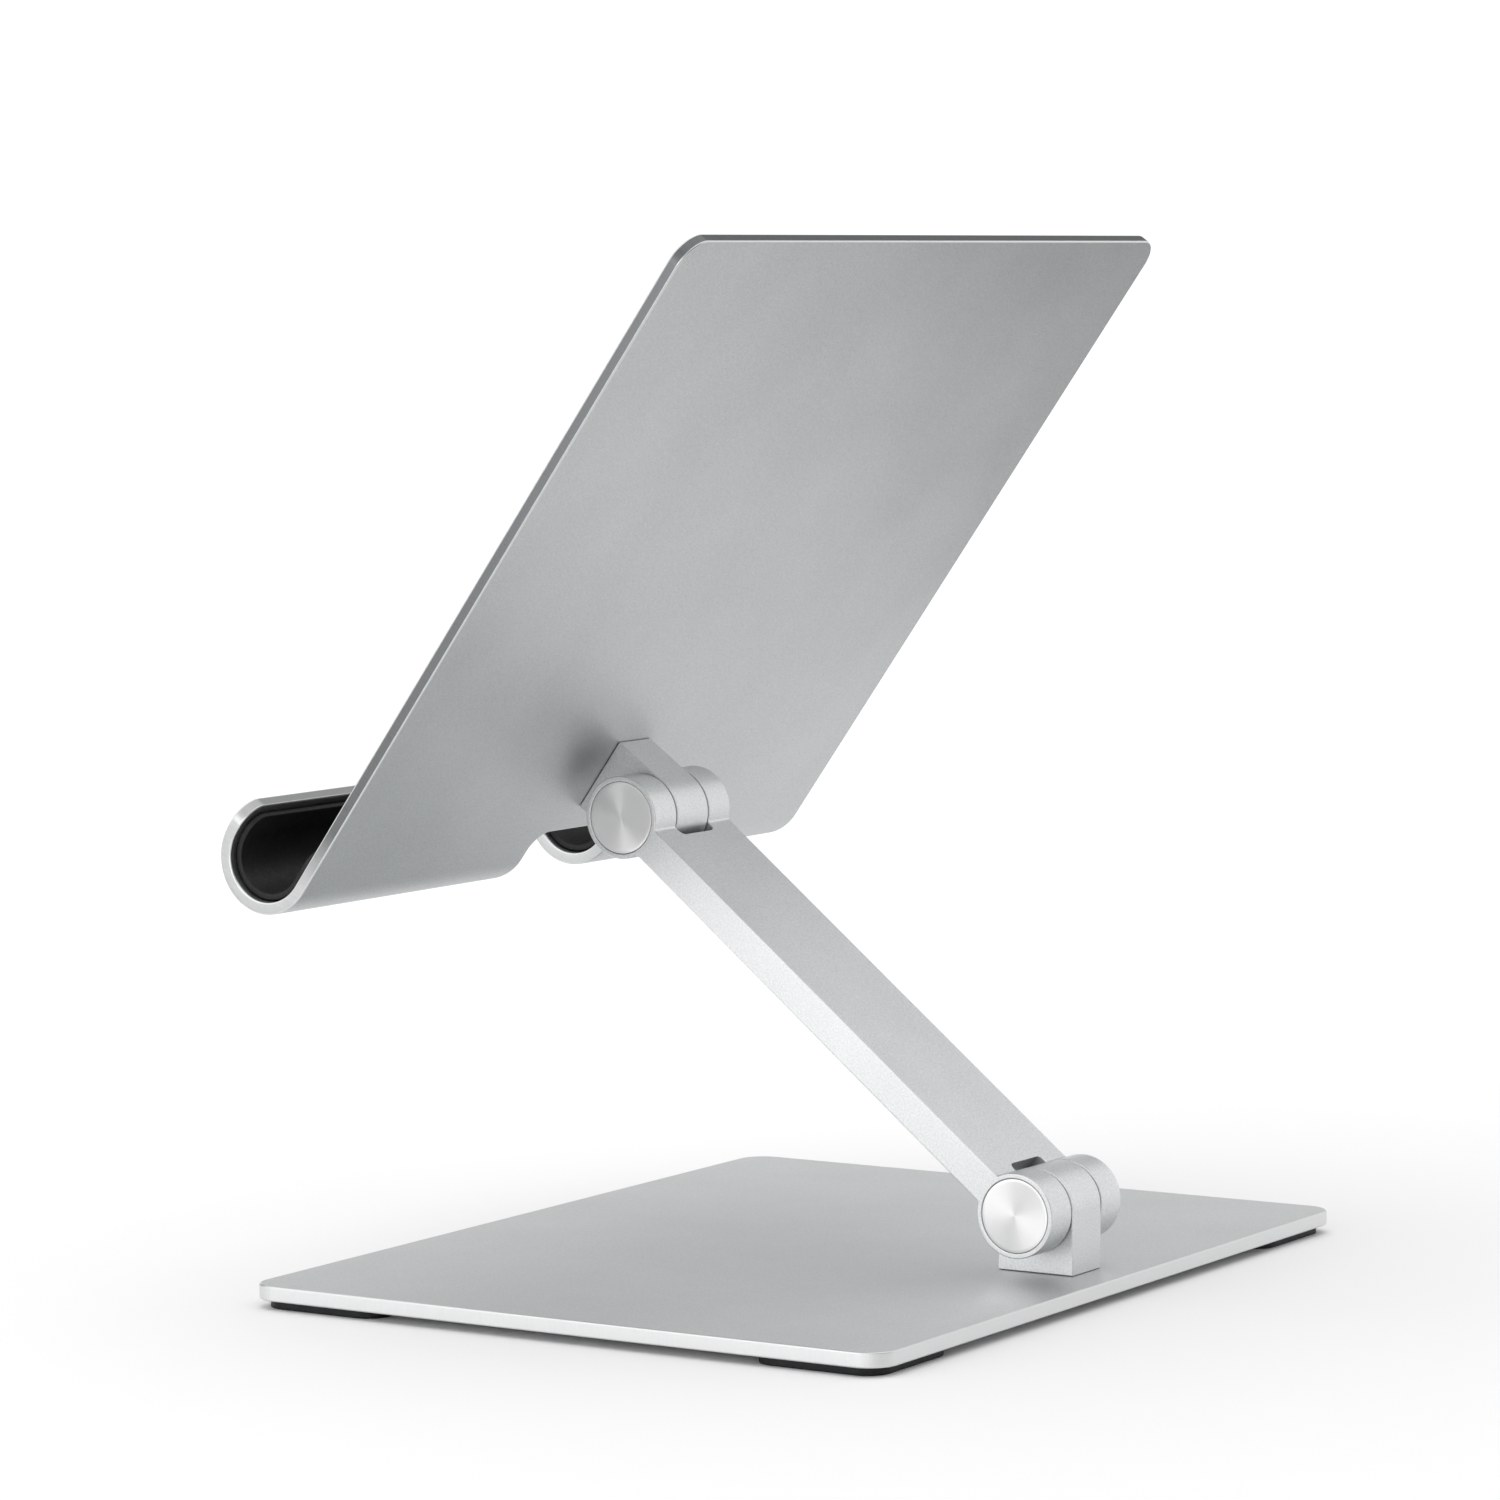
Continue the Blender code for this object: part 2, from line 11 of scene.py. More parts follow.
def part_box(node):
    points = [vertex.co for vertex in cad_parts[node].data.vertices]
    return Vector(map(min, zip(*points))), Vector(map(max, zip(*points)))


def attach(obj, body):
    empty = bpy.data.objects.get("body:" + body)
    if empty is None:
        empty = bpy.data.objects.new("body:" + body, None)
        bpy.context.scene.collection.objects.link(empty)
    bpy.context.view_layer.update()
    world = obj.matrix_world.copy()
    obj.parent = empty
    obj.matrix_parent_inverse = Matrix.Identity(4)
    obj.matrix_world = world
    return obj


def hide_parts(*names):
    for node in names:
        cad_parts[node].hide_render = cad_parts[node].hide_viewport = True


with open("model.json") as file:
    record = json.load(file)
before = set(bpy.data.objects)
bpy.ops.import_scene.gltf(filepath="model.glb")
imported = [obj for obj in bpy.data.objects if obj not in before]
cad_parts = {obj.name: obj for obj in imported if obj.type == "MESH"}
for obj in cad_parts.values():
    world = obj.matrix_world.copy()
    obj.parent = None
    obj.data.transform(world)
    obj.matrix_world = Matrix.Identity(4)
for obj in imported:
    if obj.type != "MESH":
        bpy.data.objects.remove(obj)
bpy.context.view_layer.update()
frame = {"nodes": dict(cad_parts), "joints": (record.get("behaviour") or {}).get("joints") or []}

# Where things are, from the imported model.
JOINTS = {joint["name"]: joint for joint in frame["joints"]}
LOWER_AXIS = Vector(JOINTS["arm_lift"]["pos_m"])
UPPER_AXIS = Vector(JOINTS["plate_tilt"]["pos_m"])
BASE_LOW, BASE_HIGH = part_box("base_plate")

# Sizes of the solids, in metres.
BASE_CORNER = 0.005
FOOT_CORNER = 0.004
BLOCK_WIDTH = 0.0096
BLOCK_RADIUS = 0.0070
LOWER_AXIS_HEIGHT = 0.0104
UPPER_AXIS_HEIGHT = 0.0110
ARM_LENGTH = (UPPER_AXIS - LOWER_AXIS).length
ARM_ANGLE = math.atan2(UPPER_AXIS.z - LOWER_AXIS.z, LOWER_AXIS.y - UPPER_AXIS.y)
ARM_WIDTH = 0.0234
ARM_THICKNESS = 0.0056
EAR_RADIUS = 0.0070
EAR_FILLET = 0.0005
FORK_DEPTH = 0.0082
FORK_CORNER = 0.0012
BOLT_HOLE_RADIUS = 0.0022
EAR_WALL = 0.0016
POCKET_RADIUS = 0.0046
CAP_RADIUS = 0.0061
CAP_THICKNESS = 0.0009
CAP_SINK = 0.0001
WASHER_RADIUS = 0.0046
WASHER_THICKNESS = 0.0006
SCREW_RADIUS = 0.0014
SCREW_HOLE_RADIUS = 0.0016
SCREW_HEAD_RADIUS = 0.0027
SCREW_HEAD_HEIGHT = 0.0014
SCREW_LENGTH = 0.0072
SCREW_SPACING = 0.0078
SCREW_SOCKET_RADIUS = 0.0011
SCREW_SOCKET_DEPTH = 0.0009
PLATE_WIDTH = 0.151
PLATE_THICKNESS = 0.0020
PLATE_ANGLE = math.radians(54.0)
PLATE_TOP = 0.111
PLATE_CORNER = 0.005
NOTCH_HALF_WIDTH = 0.013
NOTCH_TOP = -0.0122
NOTCH_CORNER = 0.0038
BEND_START = -0.0176
BEND_RADIUS = 0.0071
LIP_HEIGHT = 0.005
LIP_CORNER = 0.004
PAD_THICKNESS = 0.0010
PAD_EDGE = 0.0045
PAD_BOTTOM = -0.008
PAD_CORNER = 0.005
LINER_TOP = -0.0110
LINER_EDGE = 0.0012
LINER_TIP = 0.0012
LINER_CORNER = 0.003
# GAP is the space that the CAD keeps between solids, and SEAM what is drawn of it where they touch.
GAP = 0.0003
SEAM = 0.00005
BASE_THICKNESS = BASE_HIGH.z - BASE_LOW.z
EAR_INSIDE = BLOCK_WIDTH / 2 + GAP
EAR_OUTSIDE = ARM_WIDTH / 2
POCKET_FLOOR = EAR_INSIDE + EAR_WALL
CAP_OUTSIDE = EAR_OUTSIDE - CAP_SINK
CAP_SEAT = CAP_OUTSIDE - CAP_THICKNESS - GAP
PLATE_FRONT = UPPER_AXIS_HEIGHT + PLATE_THICKNESS

# Rounding of the edges, and how finely curves are drawn.
EDGE = 0.00028
FINE_EDGE = 0.00018
RUBBER_EDGE = 0.00022
EDGE_STEPS = 4
ROUND_SIDES = 120
CORNER_STEPS = 14
BEND_STEPS = 60
FILLET_STEPS = 6
FORK_CORNER_STEPS = 10
CAP_EDGE = 0.0001
CAP_EDGE_STEPS = 4
CAP_RINGS = (0.9, 0.6, 0.3, 0.08)
SCREW_EDGE = 0.00008
SOCKET_EDGE = 0.00005
SOCKET_SIDES = 6
BOLT_HOLE_SIDES = 64
WASHER_SIDES = 96
SCREW_SIDES = 64
SCREW_HOLE_SIDES = 48
BEVEL_SEGMENTS = 3
BEVEL_FROM = math.radians(35)
NORMAL_WEIGHT = 50
FLOOR_SIDES = 96
OVERSHOOT = 0.001

# Studio light.
ROOM_LIGHT = 0.38
BACKDROP_LIGHT = 1.1
CEILING_LIGHT = 1.62
KEY_LIGHT = 8.5
EDGE_LIGHT = 6.8
LOW_FILL = 1.85
SIDE_FILL = 5.2
CEILING_SPREAD = math.radians(100)
FLOOR_FADE = (0.20, 0.36)

# The photograph's view.
CAMERA_PLACE = Vector((0.80194, 0.49654, 0.16790))
CAMERA_AIM = Vector((0.001, -0.008, 0.0873))
CAMERA_ROLL = math.radians(-0.396)
CAMERA_LENS = 135.6
CAMERA_SENSOR = 36.0
CAMERA_NEAR = 0.01

ARM_FRAME = Matrix.Translation(LOWER_AXIS) @ Matrix.Rotation(math.pi - ARM_ANGLE, 4, "X")
PLATE_FRAME = Matrix.Translation(UPPER_AXIS) @ Matrix.Rotation(PLATE_ANGLE, 4, "X")
UNDER_PLATE = PLATE_FRAME @ Matrix.Rotation(math.pi, 4, "X")


# Materials.


class Nodes:
    """A small helper that adds and joins nodes of one material."""

    def __init__(self, name):
        self.material = bpy.data.materials.new(name)
        self.material.use_nodes = True
        self.tree = self.material.node_tree
        self.shader = self.tree.nodes["Principled BSDF"]
        self.place = self.add("ShaderNodeTexCoord").outputs["Object"]

    def add(self, kind, **settings):
        node = self.tree.nodes.new(kind)
        for key, value in settings.items():
            setattr(node, key, value)
        return node

    def join(self, source, target):
        self.tree.links.new(source, target)

    def tilted(self, tilt, size=(1.0, 1.0, 1.0)):
        """Object coordinates in axes turned about X by tilt, in units of size."""
        mapping = self.add("ShaderNodeMapping", vector_type="TEXTURE")
        mapping.inputs["Rotation"].default_value = (tilt, 0.0, 0.0)
        mapping.inputs["Scale"].default_value = size
        self.join(self.place, mapping.inputs["Vector"])
        return mapping.outputs["Vector"]

    def noise(self, scale, detail=2.0, place=None, roughness=0.5):
        node = self.add("ShaderNodeTexNoise")
        node.inputs["Scale"].default_value = scale
        node.inputs["Detail"].default_value = detail
        node.inputs["Roughness"].default_value = roughness
        self.join(place or self.place, node.inputs["Vector"])
        return node.outputs["Fac"]

    def remap(self, value, low, high, from_low=0.3, from_high=0.7):
        node = self.add("ShaderNodeMapRange")
        node.inputs["From Min"].default_value = from_low
        node.inputs["From Max"].default_value = from_high
        node.inputs["To Min"].default_value = low
        node.inputs["To Max"].default_value = high
        self.join(value, node.inputs["Value"])
        return node.outputs["Result"]

    def math(self, operation, first, second):
        node = self.add("ShaderNodeMath", operation=operation)
        for socket, value in zip(node.inputs, (first, second)):
            if isinstance(value, (int, float)):
                socket.default_value = value
            else:
                self.join(value, socket)
        return node.outputs["Value"]

    def colour(self, value, stops):
        ramp = self.add("ShaderNodeValToRGB")
        elements = ramp.color_ramp.elements
        while len(elements) < len(stops):
            elements.new(0.5)
        for element, (position, shade) in zip(elements, stops):
            element.position = position
            element.color = (*shade, 1.0)
        self.join(value, ramp.inputs["Fac"])
        return ramp.outputs["Color"]

    def bump(self, height, distance, strength=1.0, under=None):
        node = self.add("ShaderNodeBump")
        node.inputs["Distance"].default_value = distance
        node.inputs["Strength"].default_value = strength
        self.join(height, node.inputs["Height"])
        if under:
            self.join(under, node.inputs["Normal"])
        return node.outputs["Normal"]

    def finish(self, colour, roughness, normal, metallic=0.0, specular=0.5):
        self.join(colour, self.shader.inputs["Base Color"])
        self.join(roughness, self.shader.inputs["Roughness"])
        self.join(normal, self.shader.inputs["Normal"])
        self.shader.inputs["Metallic"].default_value = metallic
        self.shader.inputs["Specular IOR Level"].default_value = specular
        return self.material


def shades(colour, spread):
    return [(0.3, [c * (1 - spread) for c in colour]), (0.7, [c * (1 + spread) for c in colour])]


def blasted_aluminium(name, colour, roughness):
    """Fine bead-blasted, clear anodised aluminium: a tiny even grain over a faint cloudiness."""
    nodes = Nodes(name)
    grain = nodes.noise(3000, 2.5, roughness=0.65)
    cloud = nodes.noise(38, 3.0)
    mixed = nodes.math("ADD", nodes.math("MULTIPLY", grain, 0.75),
                       nodes.math("MULTIPLY", cloud, 0.25))
    tint = nodes.colour(mixed, shades(colour, 0.16))
    rough = nodes.remap(mixed, roughness - 0.05, roughness + 0.05)
    pits = nodes.bump(grain, 0.000014, 0.65)
    waves = nodes.bump(cloud, 0.00012, 0.10, under=pits)
    return nodes.finish(tint, rough, waves, metallic=1.0)


def painted_tone_edge(name, colour, roughness, tilt=0.0, painted_light_band=None, depth=0.5, spread=0.12):
    """Machined edge with fine marks, in a flat painted tone that stands in for light and shade. The
    optional band is (start, end, colour) of painted light down a tilted sheet.
    """
    nodes = Nodes(name)
    place = nodes.tilted(tilt, (0.0002, 0.0002, 0.0014))
    marks = nodes.noise(1.0, 3.0, place, roughness=0.65)
    tint = nodes.colour(marks, shades(colour, spread))
    # Painted light: the edge blends into a lighter colour down the sheet, where light falls on it.
    if painted_light_band:
        split = nodes.add("ShaderNodeSeparateXYZ")
        nodes.join(nodes.tilted(tilt), split.inputs["Vector"])
        mix = nodes.add("ShaderNodeMix", data_type="RGBA")
        nodes.join(nodes.remap(split.outputs["Y"], 0.0, 1.0, *painted_light_band[:2]), mix.inputs["Factor"])
        nodes.join(tint, mix.inputs["A"])
        nodes.join(nodes.colour(marks, shades(painted_light_band[2], 0.06)), mix.inputs["B"])
        tint = mix.outputs["Result"]
    rough = nodes.remap(marks, roughness - 0.07, roughness + 0.07)
    return nodes.finish(tint, rough, nodes.bump(marks, 0.00002, depth), metallic=1.0)


def spun_aluminium(name, colour, roughness):
    """A face turned on a lathe: rings about the X axis, which draw the light into a bow tie."""
    nodes = Nodes(name)
    split = nodes.add("ShaderNodeSeparateXYZ")
    nodes.join(nodes.place, split.inputs["Vector"])
    squares = [nodes.math("POWER", split.outputs[axis], 2.0) for axis in "YZ"]
    radius = nodes.math("SQRT", nodes.math("ADD", *squares), 0.0)
    rings = nodes.add("ShaderNodeTexNoise", noise_dimensions="1D")
    rings.inputs["Scale"].default_value = 16000
    rings.inputs["Detail"].default_value = 2.0
    nodes.join(radius, rings.inputs["W"])
    grain = nodes.noise(6000, 2.0)
    mixed = nodes.math("ADD", nodes.math("MULTIPLY", rings.outputs["Fac"], 0.8),
                       nodes.math("MULTIPLY", grain, 0.2))
    tint = nodes.colour(mixed, shades(colour, 0.02))
    rough = nodes.remap(mixed, roughness - 0.02, roughness + 0.02)
    tangent = nodes.add("ShaderNodeTangent", direction_type="RADIAL", axis="X")
    nodes.join(tangent.outputs["Tangent"], nodes.shader.inputs["Tangent"])
    nodes.shader.inputs["Anisotropic"].default_value = 0.8
    return nodes.finish(tint, rough, nodes.bump(mixed, 0.000002, 0.10), metallic=1.0)


def pebbled_rubber(name, colour, roughness, scale, depth, specular):
    nodes = Nodes(name)
    cells = nodes.add("ShaderNodeTexVoronoi", feature="SMOOTH_F1")
    cells.inputs["Scale"].default_value = scale
    nodes.join(nodes.place, cells.inputs["Vector"])
    dust = nodes.noise(scale * 0.12, 4.0)
    tint = nodes.colour(dust, shades(colour, 0.30))
    rough = nodes.remap(nodes.noise(scale * 0.5, 3.0), roughness - 0.10, roughness + 0.10)
    normal = nodes.bump(cells.outputs["Distance"], depth, 0.6)
    return nodes.finish(tint, rough, normal, specular=specular)


def plated_steel(name, colour, roughness):
    nodes = Nodes(name)
    grain = nodes.noise(1800, 4.0)
    stain = nodes.noise(260, 3.0)
    tint = nodes.colour(nodes.math("MULTIPLY", nodes.math("ADD", grain, stain), 0.5),
                        shades(colour, 0.14))
    rough = nodes.remap(stain, roughness - 0.08, roughness + 0.08)
    return nodes.finish(tint, rough, nodes.bump(grain, 0.00001, 0.4), metallic=1.0)


def moulded_nylon(name, colour, roughness):
    nodes = Nodes(name)
    grain = nodes.noise(2400, 3.0)
    tint = nodes.colour(nodes.noise(300, 2.0), shades(colour, 0.05))
    rough = nodes.remap(grain, roughness - 0.06, roughness + 0.06)
    return nodes.finish(tint, rough, nodes.bump(grain, 0.00001, 0.4))


SATIN = blasted_aluminium("satin_aluminium", (0.575, 0.588, 0.593), 0.43)
# Painted light: the same blasted aluminium in a lighter shade for the arm and the hinge blocks,
# standing in for more light on them.
SATIN_PAINTED_LIGHT = blasted_aluminium("satin_aluminium_painted_light", (0.69, 0.70, 0.705), 0.42)
# Painted highlight: the rounded edges get a lighter aluminium than the faces, standing in for the
# bright lines that light draws along them.
PAINTED_HIGHLIGHT_EDGE = painted_tone_edge("painted_highlight_edge", (0.68, 0.69, 0.69), 0.34, depth=0.10, spread=0.04)
# Painted light: the base's sides have the same finish as its top, but are given a lighter colour
# for the light that falls on them.
BASE_SIDE_PAINTED_LIGHT = painted_tone_edge("base_side_painted_light", (0.74, 0.75, 0.75), 0.42, depth=0.05, spread=0.03)
# Painted shade and light: the plate's cut edge is dark along the panel as painted shade, and turns
# to painted light towards the hook's bend.
PLATE_SIDE_PAINTED_SHADE_AND_LIGHT = painted_tone_edge("plate_side_painted_shade_and_light", (0.15, 0.155, 0.16), 0.34, PLATE_ANGLE,
                      (-0.006, -0.017, (0.53, 0.54, 0.54)))
SPUN = spun_aluminium("spun_cap", (0.79, 0.79, 0.785), 0.40)
FOOT = pebbled_rubber("pebbled_rubber", (0.009, 0.010, 0.011), 0.50, 2600, 0.00003, 0.30)
SILICONE = pebbled_rubber("matte_silicone", (0.010, 0.010, 0.011), 0.55, 3800, 0.00001, 0.35)
ZINC = plated_steel("zinc_plated_steel", (0.52, 0.53, 0.55), 0.32)
SPRING = plated_steel("oiled_spring_steel", (0.20, 0.20, 0.22), 0.30)
NYLON = moulded_nylon("natural_nylon", (0.66, 0.64, 0.58), 0.50)


# Shapes.


def arc(centre_u, centre_v, radius, start, end, steps):
    points = []
    for i in range(steps + 1):
        angle = math.radians(start + (end - start) * i / steps)
        points.append((centre_u + radius * math.cos(angle), centre_v + radius * math.sin(angle)))
    return points


def rounded_rectangle(half_u, half_v, radius):
    """Returns a function that gives the outline moved inwards by a distance."""

    def outline(inset):
        points = []
        for i, (su, sv) in enumerate(((1, 1), (-1, 1), (-1, -1), (1, -1))):
            centre = (su * (half_u - radius), sv * (half_v - radius))
            points += arc(*centre, radius - inset, 90 * i, 90 * (i + 1), CORNER_STEPS)
        return points

    return outline


def rim(low, high, edge):
    """(inset, height) pairs from the low face to the high face round two rounded edges."""
    turns = [0.5 * math.pi * i / EDGE_STEPS for i in range(EDGE_STEPS + 1)]
    up = [(edge * (1 - math.sin(t)), low + edge * (1 - math.cos(t))) for t in turns]
    down = [(edge * (1 - math.sin(t)), high - edge * (1 - math.cos(t))) for t in reversed(turns)]
    return up + down


def band_material(step, count):
    """Face 0 for the flat faces, 1 for the rounded edges and 2 for the band between them."""
    return 2 if step == count // 2 - 1 else 1


def build(name, shape, at=None, materials=(), body=None, replaces=()):
    """Makes a smooth object. at turns its mesh and moves the object. It rides on body, if any."""
    bmesh.ops.recalc_face_normals(shape, faces=shape.faces)
    at = at or Matrix.Identity(4)
    bmesh.ops.transform(shape, matrix=at.to_3x3().to_4x4(), verts=shape.verts)
    mesh = bpy.data.meshes.new(name)
    shape.to_mesh(mesh)
    shape.free()
    mesh.shade_smooth()
    made = bpy.data.objects.new(name, mesh)
    bpy.context.scene.collection.objects.link(made)
    made.location = at.translation
    for finish in materials:
        mesh.materials.append(finish)
    if body:
        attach(made, body)
        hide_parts(*replaces)
    return made


def slab(outline, low, high, edge, place):
    """A flat shape whose outline(inset) is rounded over at both faces."""
    shape = bmesh.new()
    layers = []
    for inset, height in rim(low, high, edge):
        layers.append([shape.verts.new(place(u, v, height)) for u, v in outline(inset)])
    count = len(layers[0])
    shape.faces.new(layers[0])
    shape.faces.new(layers[-1])
    for step, (first, second) in enumerate(zip(layers, layers[1:])):
        for i in range(count):
            j = (i + 1) % count
            face = shape.faces.new((first[i], first[j], second[j], second[i]))
            face.material_index = band_material(step, len(layers))
    return shape


def flat(u, v, w):
    return (u, v, w)


def across(u, v, w):
    return (w, u, v)


def lathe(profile, sides, along="X"):
    """A solid of revolution from (distance along the axis, radius) points."""
    shape = bmesh.new()
    rings = []
    for distance, radius in profile:
        ring = []
        for i in range(sides if radius > 0 else 1):
            angle = 2 * math.pi * (i + 0.5) / sides
            point = (distance, radius * math.cos(angle), radius * math.sin(angle))
            ring.append(shape.verts.new(point if along == "X" else (point[1], point[2], point[0])))
        rings.append(ring)
    following = rings[1:] + rings[:1] if profile[0][1] > 0 else rings[1:]
    for first, second in zip(rings, following):
        for i in range(sides):
            corners = [first[i % len(first)]]
            for corner in (first[(i + 1) % len(first)], second[(i + 1) % len(second)],
                           second[i % len(second)]):
                if corner not in corners:
                    corners.append(corner)
            shape.faces.new(corners)
    return shape


def disc(low, high, radius):
    return [(low, 0), (low, radius), (high, radius), (high, 0)]


def cutter(shape, at=None):
    return build("cutter", shape, at)


def prism(outline, low, high, place):
    shape = bmesh.new()
    ends = [[shape.verts.new(place(u, v, w)) for u, v in outline] for w in (low, high)]
    shape.faces.new(ends[0])
    shape.faces.new(ends[1])
    for i in range(len(outline)):
        j = (i + 1) % len(outline)
        shape.faces.new((ends[0][i], ends[0][j], ends[1][j], ends[1][i]))
    return shape


def carve(shape, cutters, edge=0.0, materials=()):
    """Cuts the cutters out of a shape, then rounds every sharp edge. Returns a new shape."""
    body = build("body", shape, materials=materials)
    for other in cutters:
        boolean = body.modifiers.new("cut", "BOOLEAN")
        boolean.operation = "DIFFERENCE"
        boolean.solver = "EXACT"
        boolean.object = other
    if edge:
        bevel = body.modifiers.new("edge", "BEVEL")
        bevel.width = edge
        bevel.segments = BEVEL_SEGMENTS
        bevel.limit_method = "ANGLE"
        bevel.angle_limit = BEVEL_FROM
        bevel.use_clamp_overlap = False
    bpy.context.view_layer.update()
    evaluated = body.evaluated_get(bpy.context.evaluated_depsgraph_get())
    done = bmesh.new()
    done.from_mesh(evaluated.to_mesh())
    evaluated.to_mesh_clear()
    for other in [body, *cutters]:
        bpy.data.objects.remove(other, do_unlink=True)
    return done


def weigh_normals(made):
    weighted = made.modifiers.new("normals", "WEIGHTED_NORMAL")
    weighted.weight = NORMAL_WEIGHT
    weighted.keep_sharp = True
    return made


# Base.


def screw_hole(at, sheet):
    cone_end = SCREW_HEAD_HEIGHT + GAP
    wide = SCREW_HEAD_RADIUS + GAP
    profile = [(-OVERSHOOT, 0), (-OVERSHOOT, wide), (GAP, wide), (cone_end, SCREW_HOLE_RADIUS),
               (sheet + OVERSHOOT, SCREW_HOLE_RADIUS), (sheet + OVERSHOOT, 0)]
    return cutter(lathe(profile, SCREW_HOLE_SIDES, along="Z"), at)


def make_base():
    centre = (BASE_LOW + BASE_HIGH) / 2
    half = (BASE_HIGH - BASE_LOW) / 2
    outline = rounded_rectangle(half.x, half.y, BASE_CORNER)
    finishes = (SATIN, PAINTED_HIGHLIGHT_EDGE, BASE_SIDE_PAINTED_LIGHT)
    holes = []
    for side in (-1, 1):
        at = Vector((0, LOWER_AXIS.y + side * SCREW_SPACING / 2, BASE_LOW.z)) - centre
        holes.append(screw_hole(Matrix.Translation(at), BASE_THICKNESS))
    shape = carve(slab(outline, -half.z, half.z, EDGE, flat), holes, materials=finishes)
    weigh_normals(build("base_panel", shape, Matrix.Translation(centre), finishes, "base",
                        ["base_plate"]))


def make_feet():
    for end in ("front", "rear"):
        for hand in ("left", "right"):
            node = f"foot_{end}_{hand}"
            low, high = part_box(node)
            half = (high - low) / 2
            outline = rounded_rectangle(half.x, half.y, FOOT_CORNER)
            shape = slab(outline, 0.0, BASE_LOW.z - SEAM - low.z, RUBBER_EDGE, flat)
            at = Matrix.Translation(((low.x + high.x) / 2, (low.y + high.y) / 2, low.z))
            weigh_normals(build(f"rubber_{node}", shape, at, (FOOT,) * 3, "base",
                                [node]))


def make_block(name, at, axis_height, body, node):
    foot = SEAM - axis_height
    half = BLOCK_WIDTH / 2
    outline = [(-BLOCK_RADIUS, foot), (BLOCK_RADIUS, foot)]
    outline += arc(0, 0, BLOCK_RADIUS, 0, 180, ROUND_SIDES // 2)
    floor = half - WASHER_THICKNESS - GAP
    bolt_hole = disc(-half - OVERSHOOT, half + OVERSHOOT, BOLT_HOLE_RADIUS)
    cutters = [cutter(lathe(bolt_hole, BOLT_HOLE_SIDES))]
    for low, high in ((-half - OVERSHOOT, -floor), (floor, half + OVERSHOOT)):
        cutters.append(cutter(lathe(disc(low, high, WASHER_RADIUS + GAP), WASHER_SIDES)))
    shape = carve(prism(outline, -half, half, across), cutters, FINE_EDGE)
    weigh_normals(build(name, shape, at, (SATIN_PAINTED_LIGHT,), body, [node]))


def screw_shape():
    profile = [(GAP / 2, 0), (GAP / 2, SCREW_HEAD_RADIUS - SCREW_EDGE),
               (GAP / 2 + SCREW_EDGE, SCREW_HEAD_RADIUS), (SCREW_HEAD_HEIGHT, SCREW_RADIUS),
               (SCREW_LENGTH - GAP, SCREW_RADIUS), (SCREW_LENGTH, SCREW_RADIUS - GAP),
               (SCREW_LENGTH, 0)]
    socket = disc(-OVERSHOOT, SCREW_SOCKET_DEPTH, SCREW_SOCKET_RADIUS)
    return carve(lathe(profile, SCREW_SIDES, along="Z"),
                 [cutter(lathe(socket, SOCKET_SIDES, along="Z"))], SOCKET_EDGE)


def make_screw(name, at, body, node):
    weigh_normals(build(name, screw_shape(), at, (ZINC,), body, [node]))


# Arm.


def arm_outline():
    """A straight bar between two round ears, with a small fillet where they meet."""
    half = ARM_THICKNESS / 2
    rise = half + EAR_FILLET
    run = math.sqrt((EAR_RADIUS + EAR_FILLET) ** 2 - rise ** 2)
    meet = math.degrees(math.atan2(rise, run))
    points = []
    for centre, turn in ((0.0, 0.0), (ARM_LENGTH, 180.0)):
        sign = 1 if turn == 0.0 else -1
        points += arc(centre, 0, EAR_RADIUS, meet + turn, 360 - meet + turn, ROUND_SIDES)
        fillet = arc(centre + sign * run, -sign * rise, EAR_FILLET, 180 - meet + turn,
                     90 + turn, FILLET_STEPS)
        points += fillet[1:]
        other = arc(centre + sign * (ARM_LENGTH - run), -sign * rise, EAR_FILLET, 90 + turn,
                    meet + turn, FILLET_STEPS)
        points += other[:-1]
    return points


def fork_shape(inward):
    start = -EAR_RADIUS - OVERSHOOT
    half = EAR_INSIDE
    radius = FORK_CORNER
    outline = [(half, start), (half, FORK_DEPTH - radius)]
    outline += arc(half - radius, FORK_DEPTH - radius, radius, 0, 90, FORK_CORNER_STEPS)[1:]
    outline += arc(radius - half, FORK_DEPTH - radius, radius, 90, 180, FORK_CORNER_STEPS)
    outline += [(-half, start)]
    reach = EAR_RADIUS + OVERSHOOT

    def place(u, v, w):
        return (u, inward * v, w)

    return prism(outline, -reach, reach, place)


def ear_bore():
    outside = EAR_OUTSIDE + OVERSHOOT
    seat = CAP_RADIUS + SEAM
    profile = [(EAR_INSIDE - OVERSHOOT, 0), (EAR_INSIDE - OVERSHOOT, BOLT_HOLE_RADIUS),
               (POCKET_FLOOR, BOLT_HOLE_RADIUS), (POCKET_FLOOR, POCKET_RADIUS),
               (CAP_SEAT, POCKET_RADIUS), (CAP_SEAT, seat), (outside, seat), (outside, 0)]
    return lathe(profile, ROUND_SIDES)


def make_arm():
    cutters = []
    for along, inward in ((0.0, 1), (ARM_LENGTH, -1)):
        shift = Matrix.Translation((0, along, 0))
        cutters.append(cutter(fork_shape(inward), shift))
        for turn in (0.0, math.pi):
            cutters.append(cutter(ear_bore(), shift @ Matrix.Rotation(turn, 4, "Z")))
    shape = prism(arm_outline(), -EAR_OUTSIDE, EAR_OUTSIDE, across)
    shape = carve(shape, cutters, FINE_EDGE)
    weigh_normals(build("arm_bar", shape, ARM_FRAME, (SATIN_PAINTED_LIGHT,), "arm", ["arm"]))


